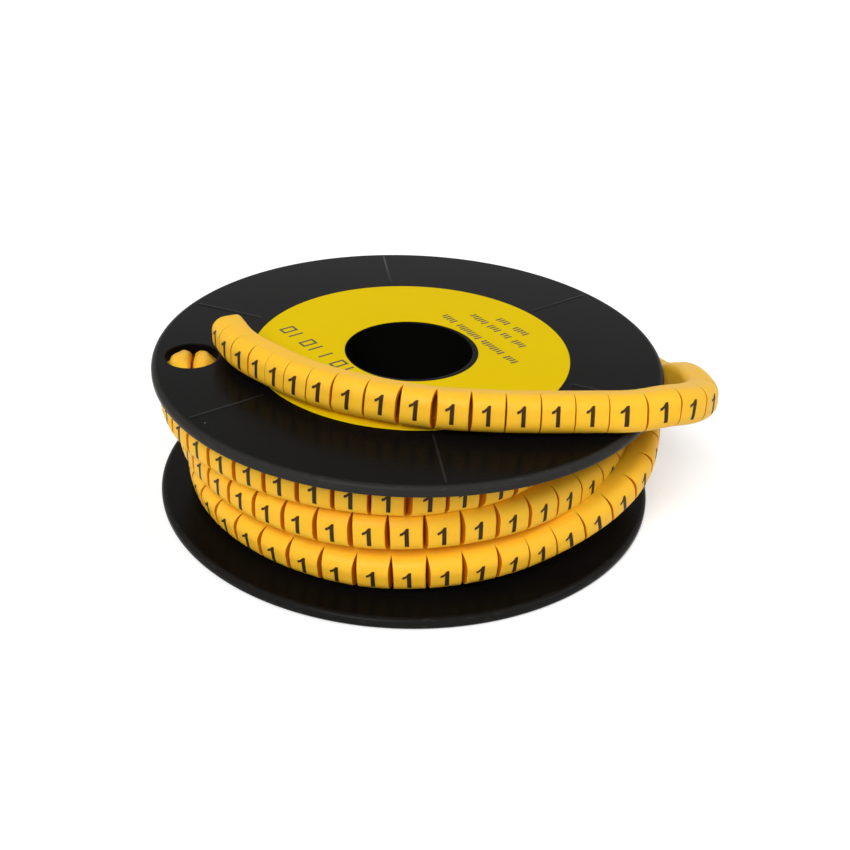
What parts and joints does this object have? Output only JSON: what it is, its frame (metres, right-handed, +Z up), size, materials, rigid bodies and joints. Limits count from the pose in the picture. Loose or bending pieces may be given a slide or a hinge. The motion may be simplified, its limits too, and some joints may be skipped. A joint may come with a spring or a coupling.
{
  "type": "reel of cable markers",
  "caption": "Flanged plastic reel wound with a part-cut strip of yellow numbered cable marker sleeves; the loose end of the strip lies over the upper flange and its ring label.",
  "frame": {"origin": "on the reel's axis, at the underside of the lower flange", "axes": "+Z up along the reel's axis, towards the labelled face; +X towards the loop of the strip past the rim; -Y towards the side where the loose end crosses the face"},
  "size_m": [0.1079, 0.1009, 0.0377],
  "materials": {
    "reel_plastic": "satin black moulding",
    "label_paper": "printed, lightly coated",
    "marker_pvc": "soft PVC, satin"
  },
  "bodies": {
    "root": {"spool": "reel_plastic", "face_label": "label_paper", "marker_strip": "marker_pvc"}
  },
  "joints": []
}
